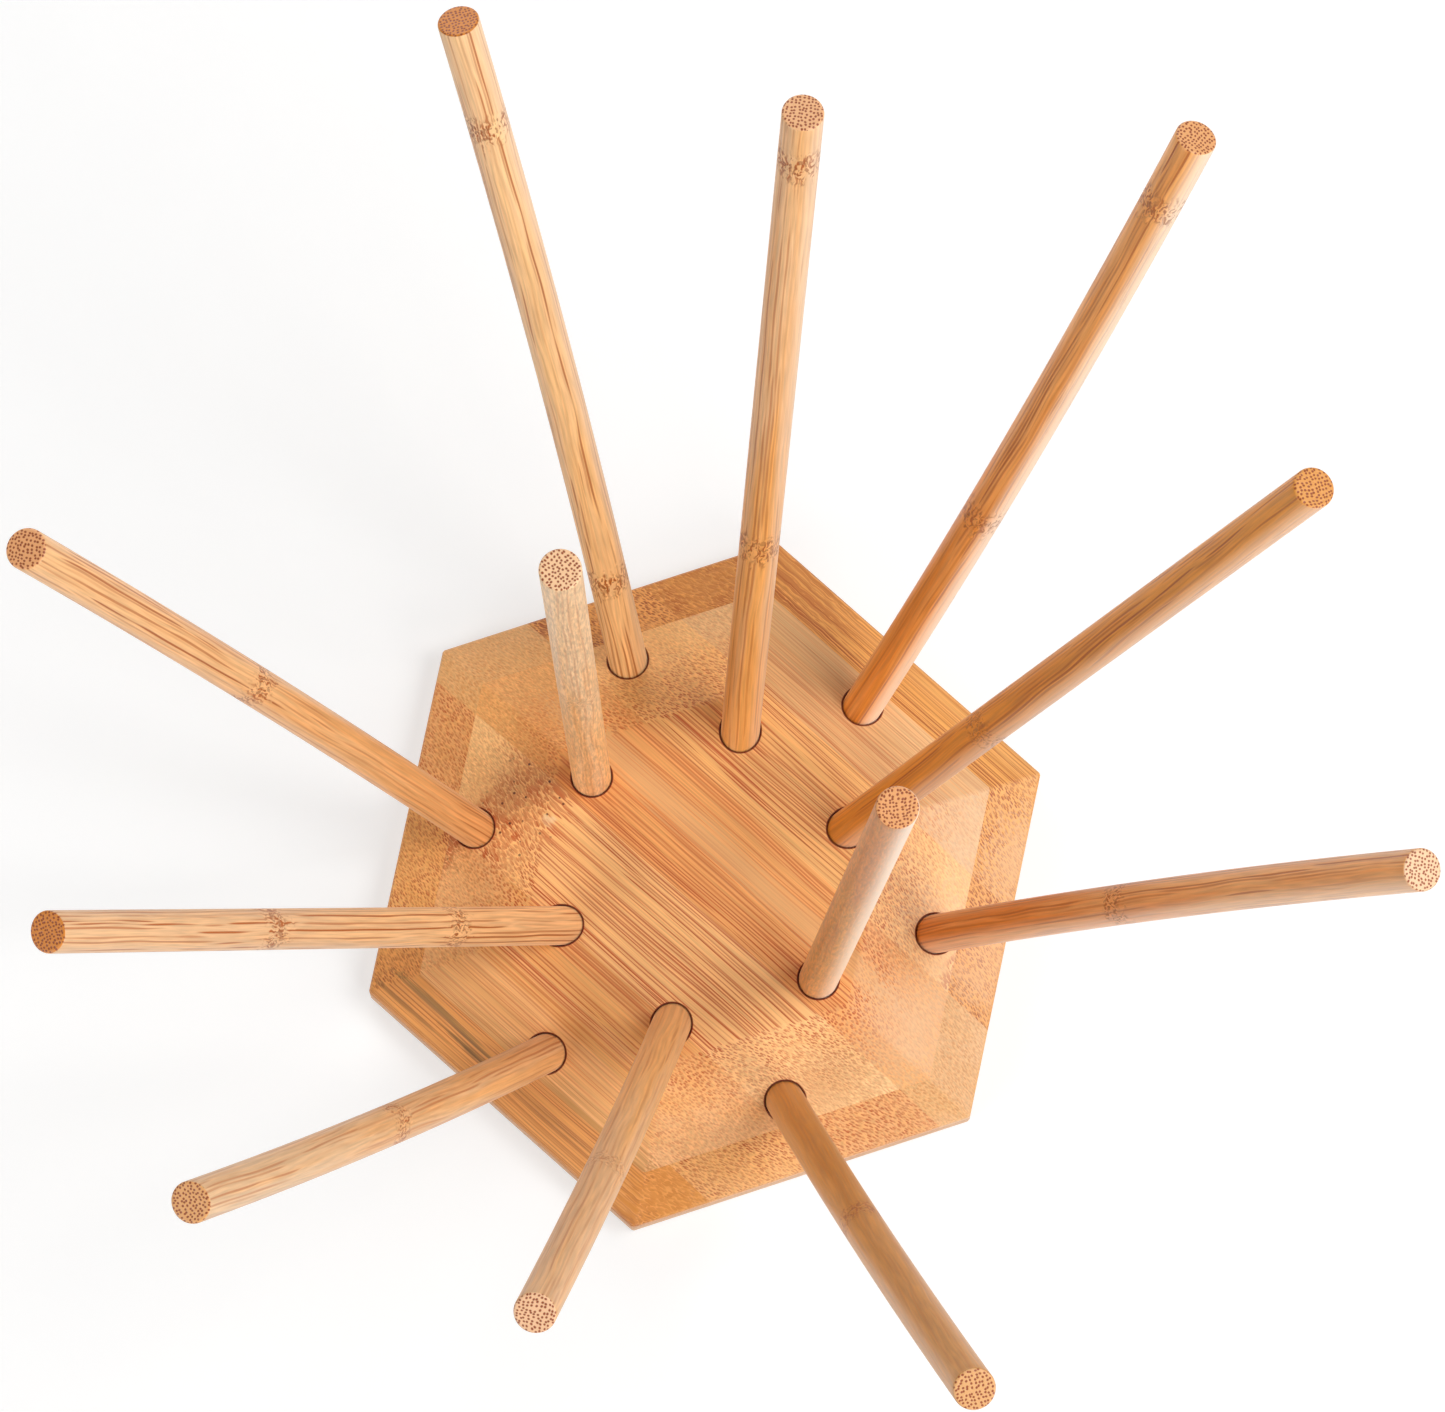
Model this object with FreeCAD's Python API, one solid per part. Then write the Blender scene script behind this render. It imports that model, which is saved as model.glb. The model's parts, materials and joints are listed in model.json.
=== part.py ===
import FreeCAD, Part
import math
import os

os.makedirs("parts", exist_ok=True)

# A mug tree: a low hexagonal block of laminated bamboo that carries twelve push-in bamboo rods.
# Millimetres. The origin is the centre of the underside, +Z is up, and +X runs along the grain.

# Block
base_across_flats = 126.0
top_across_flats = 68.4
ply_thickness = 5.0
edge_height = 7.5
corner_flat = 0.6
edge_ease = 0.4

# Glued strips: the middle strip of each ply lies a little off centre, and the outermost strips run
# out to the faces of the block. The plies are listed from the underside.
strip_width = 21.5
middle_strip_shift = 5.1
ply_strips = {
    "bottom_ply": {"before_middle": 3, "after_middle": 2},
    "middle_ply": {"before_middle": 3, "after_middle": 2},
    "top_ply": {"before_middle": 2, "after_middle": 2},
}

# Rods
rod_diameter = 8.0
rod_length = 230.0
rod_end_ease = 0.5
straight_above_socket = 2.0

# Sockets
socket_clearance = 0.2
socket_floor = 2.0
slope_socket_inset = 4.8
top_corner_inset = 8.2

# One line per rod: where it stands and which way it leans, both turned from +X, and how far it
# leans from upright, in degrees, then how far its middle bows to the left of its chord.
slope_rods = {
    "slope_rod_1": {"place": 28.5, "heading": 32.5, "lean": 22.8, "bow": 1.0},
    "slope_rod_2": {"place": 90, "heading": 89.5, "lean": 25, "bow": -1.3},
    "slope_rod_3": {"place": 151, "heading": 148.5, "lean": 24, "bow": -1.0},
    "slope_rod_4": {"place": 209, "heading": 205, "lean": 21, "bow": -0.9},
    "slope_rod_5": {"place": 269.5, "heading": 267, "lean": 21.5, "bow": 1.1},
    "slope_rod_6": {"place": 331.5, "heading": 332.5, "lean": 22.5, "bow": -0.7},
}
top_rods = {
    "top_rod_1": {"place": 61, "heading": 63, "lean": 24.2, "bow": 0},
    "top_rod_2": {"place": 118.5, "heading": 124, "lean": 22.5, "bow": 0},
    "top_rod_3": {"place": 240.5, "heading": 240, "lean": 26, "bow": 0},
    "top_rod_4": {"place": 299, "heading": 297, "lean": 22.5, "bow": 0.6},
    "upright_rod_1": {"place": -0.5, "heading": 46, "lean": 3.2, "bow": 0},
    "upright_rod_2": {"place": 180, "heading": 176, "lean": 1, "bow": 0},
}

# Worked out from the sizes above
base_height = ply_thickness * len(ply_strips)
slope_run = (base_across_flats - top_across_flats) / 2
slope_gradient = (base_height - edge_height) / slope_run
top_ply_run = ply_thickness / slope_gradient
slope_ring_radius = top_across_flats / 2 + top_ply_run - slope_socket_inset
slope_ring_height = base_height - ply_thickness + slope_socket_inset * slope_gradient
top_ring_radius = top_across_flats / math.sqrt(3) - top_corner_inset
rod_radius = rod_diameter / 2
socket_radius = rod_radius + socket_clearance


def hexagon_ring(across_flats, height):
    """Points of a hexagon with flattened corners, two of them on the X axis."""
    side_length = across_flats / math.sqrt(3)
    half_flat = corner_flat / 2
    setback = half_flat / math.cos(math.radians(30))
    points = []
    for index in range(6):
        angle = math.radians(60 * index)
        corner = FreeCAD.Vector(math.cos(angle), math.sin(angle), 0) * side_length
        for turn in (-120, 120):
            side = math.radians(60 * index + turn)
            points.append(corner + FreeCAD.Vector(math.cos(side), math.sin(side), 0) * setback)
    for point in points:
        point.z = height
    return points


def faceted_solid(rings):
    """Solid with flat faces between rings of equal point counts, closed at both ends."""
    count = len(rings[0])
    outlines = [rings[0], rings[-1]]
    for low, high in zip(rings, rings[1:]):
        for index in range(count):
            after = (index + 1) % count
            outlines.append([low[index], low[after], high[after], high[index]])
    faces = [Part.Face(Part.makePolygon(outline + outline[:1])) for outline in outlines]
    return Part.makeSolid(Part.makeShell(faces))


def make_block():
    """The whole block before it is drilled: a low prism under a shallow frustum, its edges eased."""
    slope = math.atan(slope_gradient)
    level_ease = edge_ease * math.cos(slope)
    upright_ease = edge_ease * math.sin(slope)
    sections = [
        (base_across_flats - 2 * edge_ease, 0),
        (base_across_flats, edge_ease),
        (base_across_flats, edge_height - edge_ease),
        (base_across_flats - 2 * level_ease, edge_height + upright_ease),
        (top_across_flats + 2 * level_ease, base_height - upright_ease),
        (top_across_flats - 2 * edge_ease, base_height),
    ]
    return faceted_solid([hexagon_ring(across, height) for across, height in sections])


def rod_axis(rod):
    """Unit vector along a rod's socket, pointing out of its mouth."""
    lean = math.radians(rod["lean"])
    heading = math.radians(rod["heading"])
    level = math.sin(lean)
    return FreeCAD.Vector(level * math.cos(heading), level * math.sin(heading), math.cos(lean))


def socket_depth(rod, mouth_height):
    """Depth along the axis that leaves the floor's thickness under the lowest point of the bore."""
    lean = math.radians(rod["lean"])
    bottom_height = socket_floor + socket_radius * math.sin(lean)
    return (mouth_height - bottom_height) / math.cos(lean)


def make_socket(rod, bottom):
    """Blind flat-bottomed bore along the rod, cut past the top of the block."""
    return Part.makeCylinder(socket_radius, base_height * 3, bottom, rod_axis(rod))


def eased_tip(start, direction):
    """The last of a rod, its sawn rim eased."""
    return Part.makeCone(rod_radius, rod_radius - rod_end_ease, rod_end_ease, start, direction)


def make_rod(rod, bottom, depth):
    """A round rod: straight through its socket, then one gentle bend up to its eased tip."""
    axis = rod_axis(rod)
    if rod["bow"] == 0:
        shank_length = rod_length - rod_end_ease
        shank = Part.makeCylinder(rod_radius, shank_length, bottom, axis)
        return shank.fuse(eased_tip(bottom + axis * shank_length, axis))
    foot_length = depth + straight_above_socket
    bend_length = rod_length - foot_length - rod_end_ease
    bend_radius = bend_length ** 2 / (8 * abs(rod["bow"]))
    turn = bend_length / bend_radius
    right = axis.cross(FreeCAD.Vector(0, 0, 1)).normalize()
    inward = right if rod["bow"] > 0 else -right
    foot_end = bottom + axis * foot_length
    centre = foot_end + inward * bend_radius
    foot = Part.makeCylinder(rod_radius, foot_length, bottom, axis)
    section = Part.Face(Part.Wire([Part.makeCircle(rod_radius, foot_end, axis)]))
    bend = section.revolve(centre, axis.cross(inward), math.degrees(turn))
    bend_end = centre + (axis * math.sin(turn) - inward * math.cos(turn)) * bend_radius
    tip_axis = axis * math.cos(turn) + inward * math.sin(turn)
    return foot.fuse([bend, eased_tip(bend_end, tip_axis)])


def glue_planes(before_middle, after_middle):
    """Where a ply's strips meet across the grain, and a limit clear of the block at either end."""
    first = middle_strip_shift - strip_width / 2
    steps = range(1 - before_middle, after_middle + 1)
    planes = [first + step * strip_width for step in steps]
    return [-base_across_flats] + planes + [base_across_flats]


def cut_strips(block):
    """The drilled block as its separate glued strips, ply by ply from the underside."""
    strips = {}
    for level, (ply_name, counts) in enumerate(ply_strips.items()):
        planes = glue_planes(**counts)
        for index in range(len(planes) - 1):
            width = planes[index + 1] - planes[index]
            corner = FreeCAD.Vector(-base_across_flats, planes[index], level * ply_thickness)
            room = Part.makeBox(2 * base_across_flats, width, ply_thickness, corner)
            strips[f"{ply_name}_strip_{index + 1}"] = block.common(room)
    return strips


def main():
    block = make_block()
    pieces = {}
    rings = [
        (slope_rods, slope_ring_radius, slope_ring_height),
        (top_rods, top_ring_radius, base_height),
    ]
    for rods, radius, height in rings:
        for name, rod in rods.items():
            place = math.radians(rod["place"])
            mouth = FreeCAD.Vector(radius * math.cos(place), radius * math.sin(place), height)
            depth = socket_depth(rod, height)
            bottom = mouth - rod_axis(rod) * depth
            block = block.cut(make_socket(rod, bottom))
            pieces[name] = make_rod(rod, bottom, depth)
    pieces.update(cut_strips(block))
    for name, shape in pieces.items():
        solid = shape.Solids[0]
        solid.exportStep(f"parts/{name}.step")
        print(name, "solids", len(shape.Solids), "valid", solid.isValid(), "volume", round(solid.Volume))


main()
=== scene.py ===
import json
import math
import bpy
from mathutils import Matrix, Vector


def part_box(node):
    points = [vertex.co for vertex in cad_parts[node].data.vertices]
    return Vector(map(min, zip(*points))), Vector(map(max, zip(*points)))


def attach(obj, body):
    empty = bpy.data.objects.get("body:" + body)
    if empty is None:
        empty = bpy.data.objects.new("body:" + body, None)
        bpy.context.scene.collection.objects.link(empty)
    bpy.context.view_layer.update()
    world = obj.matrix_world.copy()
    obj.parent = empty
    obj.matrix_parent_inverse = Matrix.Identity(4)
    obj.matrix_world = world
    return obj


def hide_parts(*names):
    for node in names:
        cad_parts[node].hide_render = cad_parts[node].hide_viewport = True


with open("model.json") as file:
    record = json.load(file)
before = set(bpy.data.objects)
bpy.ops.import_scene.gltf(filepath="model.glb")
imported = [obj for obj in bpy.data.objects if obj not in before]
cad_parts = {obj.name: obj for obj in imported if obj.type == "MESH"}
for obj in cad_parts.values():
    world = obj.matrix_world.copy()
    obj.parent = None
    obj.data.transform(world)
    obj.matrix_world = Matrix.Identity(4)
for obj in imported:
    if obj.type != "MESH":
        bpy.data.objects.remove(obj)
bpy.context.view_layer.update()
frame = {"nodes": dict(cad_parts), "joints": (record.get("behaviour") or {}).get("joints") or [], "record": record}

print("frame loaded:", len(frame["nodes"]), "pieces")

pureWhite = (1, 1, 1, 1)
noiseSpan = {"From Min": 0.3, "From Max": 0.7}  # a noise texture seldom leaves this range


def toLinear(hexColour):
    # sRGB hex to the linear RGBA that shaders take
    parts = [int(hexColour[i:i + 2], 16) / 255 for i in (1, 3, 5)]
    return [c / 12.92 if c <= 0.04045 else ((c + 0.055) / 1.055) ** 2.4 for c in parts] + [1.0]


def addNode(tree, kind, inputs=None, **settings):
    # one node with its settings; an input is a value, a socket, or a node whose first output feeds it
    node = tree.nodes.new(kind)
    for key, value in settings.items():
        setattr(node, key, value)
    for key, value in (inputs or {}).items():
        if isinstance(value, bpy.types.Node):
            value = value.outputs[0]
        if isinstance(value, bpy.types.NodeSocket):
            tree.links.new(value, node.inputs[key])
        else:
            node.inputs[key].default_value = value
    return node


def newMaterial(name):
    material = bpy.data.materials.new(name)
    material.use_nodes = True
    material.node_tree.nodes.clear()
    return material, material.node_tree


def standOff(thing, target, look):
    # put a camera or a lamp off its target, turned to face it
    azimuth, elevation = math.radians(look["azimuth"]), math.radians(look["elevation"])
    level = math.cos(elevation)
    back = Vector((level * math.cos(azimuth), level * math.sin(azimuth), math.sin(elevation)))
    thing.location = Vector(target) + back * look["distance"]
    thing.rotation_euler = (-back).to_track_quat("-Z", "Y").to_euler()
    bpy.context.scene.collection.objects.link(thing)


# Camera: nearly straight down over the tree, from a little to one side
cameraLook = {
    "target": (-0.02107, 0.02887, 0.015),
    "distance": 1.87076,
    "azimuth": -48.21,
    "elevation": 80.29,
    "lens": 226.73,
    "sensor": 36,
    "clipStart": 0.05,
    "clipEnd": 20,
}


def addCamera(look):
    data = bpy.data.cameras.new("Camera")
    data.lens = look["lens"]
    data.sensor_width = look["sensor"]
    data.clip_start = look["clipStart"]
    data.clip_end = look["clipEnd"]
    camera = bpy.data.objects.new("Camera", data)
    standOff(camera, look["target"], look)
    bpy.context.scene.camera = camera


addCamera(cameraLook)
print("camera placed")

# Studio: softboxes to the right, behind and to the left, and white paper all round
studioLook = {
    "softboxes": {
        "High right softbox": {"azimuth": 44, "elevation": 56, "distance": 2.0, "size": 1.0, "power": 26.0},
        "Low right softbox": {"azimuth": -3, "elevation": 20, "distance": 2.0, "size": 1.2, "power": 24.0},
        "Back softbox": {"azimuth": 145, "elevation": 17, "distance": 2.0, "size": 1.4, "power": 20.0},
        "Left softbox": {"azimuth": 258, "elevation": 16, "distance": 2.0, "size": 1.2, "power": 20.0},
    },
    "surroundLight": 0.06,
    "paperColours": ("#bdbdbd", "#c0c0bf"),
    "paperMottle": 0.025,  # size of the clouds in the paper
    "paperRoughness": 0.6,
    "paperGlow": 0.58,
    "floorSize": 8.0,
    "floorDrop": 0.0003,  # gap under the block, so the two never lie in one plane
    "whiteFrom": 0.35,  # the paper starts to fade to pure white here
    "whiteBy": 1.1,  # and is pure white from here on
}


def addSoftbox(name, look):
    data = bpy.data.lights.new(name, "AREA")
    data.size = look["size"]
    data.energy = look["power"]
    standOff(bpy.data.objects.new(name, data), (0, 0, 0), look)


def whiteRays(tree):
    # 1 for what is seen, also in a gloss or through glass, and 0 for what lights the object
    rays = addNode(tree, "ShaderNodeLightPath").outputs
    seen = addNode(tree, "ShaderNodeMath", {0: rays["Is Camera Ray"], 1: rays["Is Glossy Ray"]},
                   operation="MAXIMUM")
    return addNode(tree, "ShaderNodeMath", {0: seen, 1: rays["Is Transmission Ray"]}, operation="MAXIMUM")


def addSurround(look):
    world = bpy.data.worlds.new("White surround")
    world.use_nodes = True
    tree = world.node_tree
    tree.nodes.clear()
    lit = addNode(tree, "ShaderNodeBackground", {"Color": pureWhite, "Strength": look["surroundLight"]})
    white = addNode(tree, "ShaderNodeBackground", {"Color": pureWhite, "Strength": 1.0})
    both = addNode(tree, "ShaderNodeMixShader", {0: whiteRays(tree), 1: lit, 2: white})
    addNode(tree, "ShaderNodeOutputWorld", {"Surface": both})
    bpy.context.scene.world = world


def seamlessPaper(look):
    # White seamless paper: matt, with a faint mottle, lifted nearly to white where nothing shades it
    material, tree = newMaterial("White seamless paper")
    place = addNode(tree, "ShaderNodeTexCoord").outputs["Object"]
    mottle = addNode(tree, "ShaderNodeTexNoise", {"Vector": place, "Scale": 1 / look["paperMottle"],
                     "Detail": 3.0})
    first, second = [toLinear(colour) for colour in look["paperColours"]]
    tone = addNode(tree, "ShaderNodeMix", {0: mottle.outputs["Fac"], 6: first, 7: second}, data_type="RGBA")
    matt = addNode(tree, "ShaderNodeBsdfDiffuse", {"Color": tone.outputs[2],
                   "Roughness": look["paperRoughness"]})
    glow = addNode(tree, "ShaderNodeEmission", {"Color": pureWhite, "Strength": look["paperGlow"]})
    lifted = addNode(tree, "ShaderNodeAddShader", {0: matt, 1: glow})

    # far from the object it is pure white, so no horizon shows
    reach = addNode(tree, "ShaderNodeVectorMath", {0: place}, operation="LENGTH")
    far = addNode(tree, "ShaderNodeMapRange", {"Value": reach.outputs["Value"],
                  "From Min": look["whiteFrom"], "From Max": look["whiteBy"]},
                  interpolation_type="SMOOTHSTEP")
    white = addNode(tree, "ShaderNodeEmission", {"Color": pureWhite, "Strength": 1.0})
    lifted = addNode(tree, "ShaderNodeMixShader", {0: far, 1: lifted, 2: white})
    both = addNode(tree, "ShaderNodeMixShader", {0: whiteRays(tree), 1: matt, 2: lifted})
    addNode(tree, "ShaderNodeOutputMaterial", {"Surface": both})
    return material


def addFloor(look):
    half = look["floorSize"] / 2
    mesh = bpy.data.meshes.new("Paper floor")
    corners = [(-half, -half, 0), (half, -half, 0), (half, half, 0), (-half, half, 0)]
    mesh.from_pydata(corners, [], [(0, 1, 2, 3)])
    mesh.materials.append(seamlessPaper(look))
    floor = bpy.data.objects.new("Paper floor", mesh)
    floor.location.z = -look["floorDrop"]
    bpy.context.scene.collection.objects.link(floor)


for name, box in studioLook["softboxes"].items():
    addSoftbox(name, box)
addSurround(studioLook)
addFloor(studioLook)
bpy.context.scene.view_settings.view_transform = "Standard"
print("studio lit")

# Where the rods stand, read from their solids and joints
rodShape = {"length": 0.230, "radius": 0.004, "tipEase": 0.0005, "sides": 64, "steps": 72, "tipSteps": 4}
axes = {joint["child"]: Vector(joint["axis"]).normalized() for joint in frame["joints"]}


def measureRod(name, axis):
    # foot centre, length of the straight foot, and which way and how sharply the rod bows
    sameLevel = 0.00001
    rimDepth = 0.0009
    leastBow = 0.00005
    points = {tuple(round(c, 7) for c in v.co) for v in frame["nodes"][name].data.vertices}
    ahead = sorted((Vector(p).dot(axis), p) for p in points)
    lowest, highest = ahead[0][0], ahead[-1][0]
    foot = [Vector(p) for a, p in ahead if a < lowest + sameLevel]
    tip = [Vector(p) for a, p in ahead if a > highest - rimDepth]
    footCentre = sum(foot, Vector()) / len(foot)
    tipCentre = sum(tip, Vector()) / len(tip)
    chord = tipCentre - footCentre
    sideways = chord - chord.dot(axis) * axis
    if sideways.length < leastBow:
        return footCentre, 0.0, axis.cross(Vector((0, 0, 1))).normalized(), 0.0
    footLength = min(a - lowest for a, p in ahead if a > lowest + sameLevel)
    bend = 2 * sideways.length / (rodShape["length"] - footLength - rodShape["tipEase"]) ** 2
    return footCentre, footLength, sideways.normalized(), bend


rodPlaces = {name: measureRod(name, axis) for name, axis in axes.items()}
print("rods measured:", len(rodPlaces))

# What board bamboo and rod bamboo have in common


def smoothPush(tree, place, shift, size):
    # a random push to any side, which changes smoothly over this size
    stretched = addNode(tree, "ShaderNodeMapping", {"Vector": place, "Location": shift, "Scale": size},
                        vector_type="TEXTURE")
    noise = addNode(tree, "ShaderNodeTexNoise", {"Vector": stretched, "Scale": 1.0, "Detail": 1.0})
    return addNode(tree, "ShaderNodeVectorMath", {0: noise.outputs["Color"], 1: (0.5, 0.5, 0.5)},
                   operation="SUBTRACT")


def nearNode(tree, along, centre, full, gone):
    # how near a point along the fibres is to a culm node: 1 up to the first distance, 0 from the second
    away = addNode(tree, "ShaderNodeMath", {0: along, 1: centre}, operation="SUBTRACT")
    away = addNode(tree, "ShaderNodeMath", {0: away}, operation="ABSOLUTE")
    return addNode(tree, "ShaderNodeMapRange", {"Value": away, "From Min": full, "From Max": gone,
                   "To Min": 1.0, "To Max": 0.0}, interpolation_type="SMOOTHSTEP")


def fibreBundles(tree, look, section, culm=None):
    # dark fibre bundles in the rod's or strip's cross-section, and how strong each of them is
    bundles = addNode(tree, "ShaderNodeTexVoronoi", {"Vector": section, "Scale": 1.0,
                      "Randomness": look["bundleJitter"]}, voronoi_dimensions="2D", feature="F1")
    spread = bundles.outputs["Distance"]
    if culm:
        spread = addNode(tree, "ShaderNodeMath", {0: culm, 1: -look["nodeSwell"], 2: spread},
                         operation="MULTIPLY_ADD")
    begins, full = look["bundleEdge"]
    dot = addNode(tree, "ShaderNodeMapRange", {"Value": spread, "From Min": begins, "From Max": full},
                  interpolation_type="SMOOTHSTEP")
    own = addNode(tree, "ShaderNodeSeparateColor", {0: bundles.outputs["Color"]})
    own = addNode(tree, "ShaderNodeMapRange", {"Value": own, "To Min": look["bundleLeast"]})
    return dot, own


def bandedBody(tree, look, place, shift, rise, colours, hair, depth):
    # the body's two colours in soft bands, with the tone of the hair-fine streaks
    stretched = addNode(tree, "ShaderNodeMapping", {"Vector": place, "Location": shift,
                        "Scale": look["band"]}, vector_type="TEXTURE")
    band = addNode(tree, "ShaderNodeTexNoise", {"Vector": stretched, "Scale": 1.0, "Detail": 2.0})
    lift = addNode(tree, "ShaderNodeMapRange", {"Value": band, **noiseSpan, "To Min": -look["bandLift"],
                   "To Max": look["bandLift"]})
    share = addNode(tree, "ShaderNodeMath", {0: rise, 1: lift}, operation="ADD", use_clamp=True)
    body = addNode(tree, "ShaderNodeMix", {0: share, 6: toLinear(colours[0]), 7: toLinear(colours[1])},
                   data_type="RGBA")
    tone = addNode(tree, "ShaderNodeMapRange", {"Value": hair, **noiseSpan, "To Min": 1 - depth,
                   "To Max": 1 + depth})
    return addNode(tree, "ShaderNodeVectorMath", {0: body.outputs[2], "Scale": tone}, operation="SCALE")


# Clear satin lacquer
lacquerLook = {
    "ior": 1.5,
    "sheen": 0.15,
    "sheenRoughness": 0.3,
    "relief": 0.7,
    "reliefDepth": 0.00012,
    "bundleSink": 0.6,  # a bundle dips this much against the swell of the streaks
}


def lacquerOver(tree, look, colour, rough, speck, hair):
    # a thin coat that follows the grain: its soft highlight breaks over the streaks and dips at each bundle
    relief = addNode(tree, "ShaderNodeMath", {0: speck, 1: -look["bundleSink"], 2: hair},
                     operation="MULTIPLY_ADD")
    bump = addNode(tree, "ShaderNodeBump", {"Height": relief, "Strength": look["relief"],
                   "Distance": look["reliefDepth"]})
    lacquer = addNode(tree, "ShaderNodeBsdfPrincipled", {"Base Color": colour, "Roughness": rough,
                      "IOR": look["ior"], "Normal": bump, "Sheen Weight": look["sheen"],
                      "Sheen Roughness": look["sheenRoughness"]})
    addNode(tree, "ShaderNodeOutputMaterial", {"Surface": lacquer})


# Block: glued bamboo strips. The fibres run along X, so a strip shows them as lines on its top
# and as specks where a sloping face cuts across them. A size in three numbers is in metres: along
# the grain, across the strip and through it.
boardLook = {
    "bundle": (1, 0.00054, 0.00022),  # spacing of the fibre bundles, which have no ends
    "bundleJitter": 0.85,
    "bundleEdge": (0.418, 0.285),  # how far from its middle a bundle begins and is full
    "bundleLeast": 0.5,  # the faintest bundle beside the darkest
    "wander": (0, 0.0014, 0.0006),  # how far a fibre strays
    "wanderLength": (0.045, 0.009, 0.004),  # over which distances
    "group": (0.11, 0.0045, 0.0018),  # bundles come in groups of this size
    "groupEdge": (0.38, 0.6),
    "groupLeast": 0.62,
    "band": (0.15, 0.006, 0.0014),  # soft paler and warmer bands
    "bandLift": 0.35,
    "streak": (0.022, 0.0003, 0.0002),  # hair-fine streaks between the bundles
    "streakTone": 0.16,
    "lowSheenTint": (1, 0.97, 0.9, 1),  # tint at the low X end: richer, with the least painted sheen
    "highSheenTint": (1, 1.04, 1.12, 1),  # tint at the high X end: paler and whiter, painted sheen of the lamps on the lacquer
    "sheenTintReach": 0.05,  # it changes between minus and plus this
    "swirl": (0.0032, 0.0017, 0.0008),  # swirls of the fibres at a culm node
    "swirlThrow": (0, 0.001, 0.0004),
    "nodeRagged": (0.006, 0, 0),  # how far a node's edge strays
    "nodeCore": 0.3,  # share of a node's reach that it has at full strength
    "nodeSwell": 0.17,  # how much further out the bundles reach there
    "poredStrips": ("top_ply_strip_1", "top_ply_strip_2"),
    "poreSpacing": 0.0022,
    "poreRadius": 0.00033,
    "poreCore": 0.7,  # share of that radius that is fully dark
    "poreColour": "#5c2000",
    "markEdge": (1.1, 1.9),  # a mark starts to fade here and is gone there, in reaches
    "markRagged": 1.6,  # how far the streaks draw out a mark's edge
    # painted shade of the gap round each rod: a socket's sides and a thin ring round its mouth are dark
    "socketShadeEdge": (0.0044, 0.0045),  # a socket's painted shade starts to fade and is gone this far from its axis
    "socketShade": 0.95,
    "socketShadeColour": "#6e1c00",
    "roughness": (0.37, 0.51),
}

# One entry per strip: body colour at its pale lower face and its dense upper face, the colour of its
# bundles, how strongly they show at those two faces, and how far the section of a bundle is turned.
# "node" is where a culm node crosses the strip and how wide it is, along X.
stripLooks = {
    "top_ply_strip_1": {"pale": "#ecb074", "dense": "#e8a660", "bundle": "#ba4c08",
                        "low": 0.4, "high": 0.95, "turn": 0.0, "seed": 1.3, "node": (-0.047, 0.009)},
    "top_ply_strip_2": {"pale": "#f6c284", "dense": "#f6bb78", "bundle": "#bc4a08",
                        "low": 0.38, "high": 1, "turn": -0.5, "seed": 2.9, "node": (-0.038, 0.012)},
    "top_ply_strip_3": {"pale": "#e8a966", "dense": "#eaa25c", "bundle": "#bc4c0a",
                        "low": 0.24, "high": 0.98, "turn": 0.4, "seed": 4.1},
    "top_ply_strip_4": {"pale": "#f2bb79", "dense": "#f2b36b", "bundle": "#b84608",
                        "low": 0.32, "high": 0.98, "turn": 0.5, "seed": 5.7, "node": (0.052, 0.005)},
    "top_ply_strip_5": {"pale": "#e4b27a", "dense": "#e2a86c", "bundle": "#bc520e",
                        "low": 0.32, "high": 0.78, "turn": 0.6, "seed": 7.2},
    "middle_ply_strip_1": {"pale": "#dc9c58", "dense": "#de9650", "bundle": "#963e00",
                           "low": 0.7, "high": 1, "turn": -0.5, "seed": 8.8, "node": (0.0365, 0.009)},
    "middle_ply_strip_2": {"pale": "#eeb06e", "dense": "#e8a65e", "bundle": "#b0460a",
                           "low": 0.56, "high": 1, "turn": -0.5, "seed": 9.4},
    "middle_ply_strip_3": {"pale": "#e8a86e", "dense": "#e2a05e", "bundle": "#b44a0a",
                           "low": 0.48, "high": 1, "turn": -0.4, "seed": 10.6},
    "middle_ply_strip_4": {"pale": "#e7b27c", "dense": "#e1a86a", "bundle": "#c06c24",
                           "low": 0.16, "high": 0.52, "turn": 0.2, "seed": 11.5},
    "middle_ply_strip_5": {"pale": "#e8a562", "dense": "#e29b4e", "bundle": "#983a00",
                           "low": 0.56, "high": 1, "turn": 0.5, "seed": 12.1, "node": (-0.062, 0.006)},
    "middle_ply_strip_6": {"pale": "#e8a65c", "dense": "#e49e4e", "bundle": "#a04000",
                           "low": 0.48, "high": 1, "turn": 0.6, "seed": 13.9, "node": (-0.032, 0.03)},
    "bottom_ply_strip_1": {"pale": "#dca670", "dense": "#d79c60", "bundle": "#a8652f",
                           "low": 0.32, "high": 0.78, "turn": 0.3, "seed": 14.2},
    "bottom_ply_strip_2": {"pale": "#dfa871", "dense": "#d89b5d", "bundle": "#a5602b",
                           "low": 0.32, "high": 0.78, "turn": -0.3, "seed": 15.8},
    "bottom_ply_strip_3": {"pale": "#dca368", "dense": "#d49450", "bundle": "#a1592a",
                           "low": 0.32, "high": 0.85, "turn": 0.5, "seed": 16.3},
    "bottom_ply_strip_4": {"pale": "#e1ab74", "dense": "#db9f62", "bundle": "#a8632f",
                           "low": 0.32, "high": 0.78, "turn": 0.1, "seed": 17.7},
    "bottom_ply_strip_5": {"pale": "#dea66c", "dense": "#d6975a", "bundle": "#a25b2a",
                           "low": 0.32, "high": 0.85, "turn": -0.2, "seed": 18.4},
    "bottom_ply_strip_6": {"pale": "#dba468", "dense": "#d39553", "bundle": "#a05828",
                           "low": 0.32, "high": 0.78, "turn": 0.4, "seed": 19.6},
}

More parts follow.
